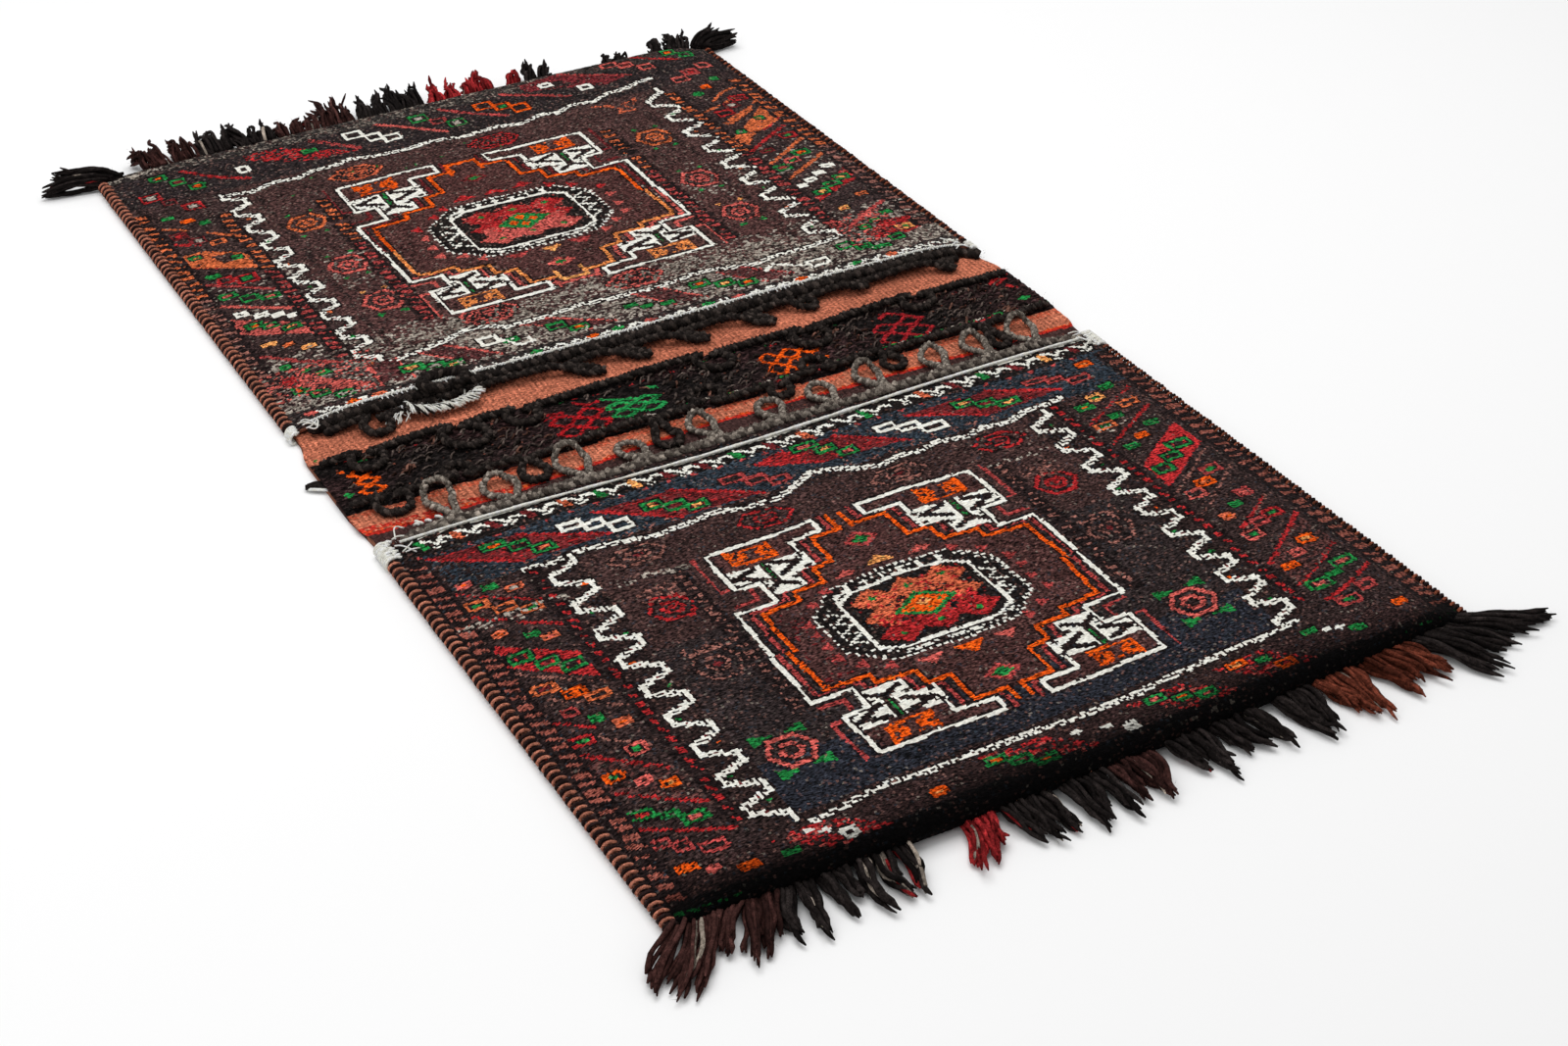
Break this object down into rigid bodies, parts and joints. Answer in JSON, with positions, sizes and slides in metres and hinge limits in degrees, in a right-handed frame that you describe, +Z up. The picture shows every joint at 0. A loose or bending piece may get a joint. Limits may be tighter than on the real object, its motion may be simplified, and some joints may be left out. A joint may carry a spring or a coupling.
{
  "type": "woven saddle bag",
  "caption": "Flat double saddle bag of patterned wool cloth, both ends folded up into pockets, with looped cords along the mouths and a yarn fringe at each fold.",
  "frame": {"origin": "on the ground under the middle of the bag, half way between the two folds", "axes": "+X across the bag, +Y along it towards the deeper rear pocket, +Z up"},
  "size_m": [0.708, 1.152, 0.0254],
  "materials": {
    "kilim_wool": "matt, hand-woven wool with short pile and brocaded pattern",
    "side_stitching": "matt wound wool yarn, salmon and near black by turns",
    "ivory_wool": "matt loose ivory wool",
    "grey_cord": "matt braided grey goat hair and wool",
    "striped_cord": "matt braided cord of ivory and black",
    "black_wool": "matt, slightly hairy black goat hair",
    "dark_brown_wool": "matt dark aubergine brown wool yarn",
    "red_wool": "matt madder red wool yarn",
    "rust_wool": "matt reddish brown wool yarn"
  },
  "bodies": {
    "root": {"woven_cloth": "kilim_wool", "front_left_whipping": "side_stitching", "front_right_whipping": "side_stitching", "rear_left_whipping": "side_stitching", "rear_right_whipping": "side_stitching", "front_left_tack": "ivory_wool", "front_right_tack": "ivory_wool", "rear_left_tack": "ivory_wool", "rear_right_tack": "ivory_wool", "front_mouth_braid": "grey_cord", "striped_mouth_loop": "striped_cord", "rear_mouth_braid": "black_wool", "ring_mouth_loop": "black_wool", "bridge_front_braid": "black_wool", "bridge_rear_braid": "black_wool", "side_tuft": "black_wool", "front_tassel_01": "dark_brown_wool", "front_tassel_02": "dark_brown_wool", "front_tassel_03": "dark_brown_wool", "front_tassel_04": "black_wool", "front_tassel_05": "black_wool", "front_tassel_06": "black_wool", "front_tassel_07": "red_wool", "front_tassel_08": "black_wool", "front_tassel_09": "black_wool", "front_tassel_10": "dark_brown_wool", "front_tassel_11": "black_wool", "front_tassel_12": "black_wool", "front_tassel_13": "black_wool", "front_tassel_14": "black_wool", "front_tassel_15": "rust_wool", "front_tassel_16": "rust_wool", "front_tassel_17": "black_wool", "front_tassel_18": "black_wool", "rear_tassel_01": "black_wool", "rear_tassel_02": "dark_brown_wool", "rear_tassel_03": "dark_brown_wool", "rear_tassel_04": "black_wool", "rear_tassel_05": "black_wool", "rear_tassel_06": "dark_brown_wool", "rear_tassel_07": "dark_brown_wool", "rear_tassel_08": "black_wool", "rear_tassel_09": "black_wool", "rear_tassel_10": "red_wool", "rear_tassel_11": "red_wool", "rear_tassel_12": "red_wool", "rear_tassel_13": "black_wool", "rear_tassel_14": "black_wool", "rear_tassel_15": "black_wool", "rear_tassel_16": "black_wool", "rear_tassel_17": "black_wool"}
  },
  "joints": []
}
